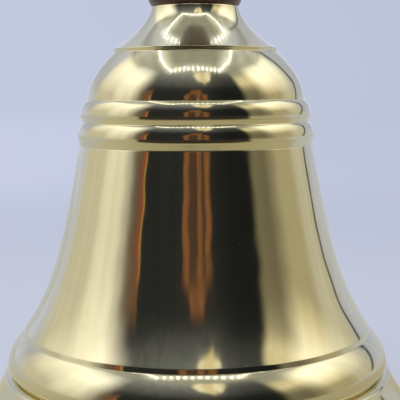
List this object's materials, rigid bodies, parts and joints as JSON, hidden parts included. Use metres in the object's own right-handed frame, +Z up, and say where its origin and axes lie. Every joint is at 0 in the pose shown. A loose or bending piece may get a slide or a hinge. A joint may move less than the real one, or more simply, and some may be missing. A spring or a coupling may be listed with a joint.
{
  "type": "ship bell",
  "caption": "Hand-rung ship's bell: moulded polished brass bell clamped by a tie rod to a turned hardwood handle, with a free-swinging ball clapper.",
  "frame": {"origin": "centre of the mouth, on the plane of the rim", "axes": "+Z up through the crown and the handle; +X is the clapper's main swing direction"},
  "size_m": [0.12, 0.12, 0.2443],
  "materials": {
    "brass": "machine polished, pale yellow",
    "hardwood": "red-brown stain, satin varnish",
    "steel": "zinc plated"
  },
  "bodies": {
    "root": {"bell": "brass", "handle": "hardwood", "top_ferrule": "brass", "finial_nut": "brass", "tie_rod": "steel", "crown_washer": "brass", "lock_washer": "steel", "crown_nut": "steel", "eye_nut": "steel"},
    "link": {"clapper_link": "steel"},
    "clapper": {"clapper_shank": "steel", "clapper_ball": "brass", "ball_jam_nut": "steel", "ball_end_nut": "brass"}
  },
  "joints": [
    {"name": "link_swing", "type": "hinge", "parent": "root", "child": "link", "pos_m": [0, 0, 0.0816], "axis": [1, 0, 0], "range_deg": [-7, 7]},
    {"name": "clapper_swing", "type": "hinge", "parent": "link", "child": "clapper", "pos_m": [0, 0, 0.07055], "axis": [0, 1, 0], "range_deg": [-33, 33]}
  ]
}
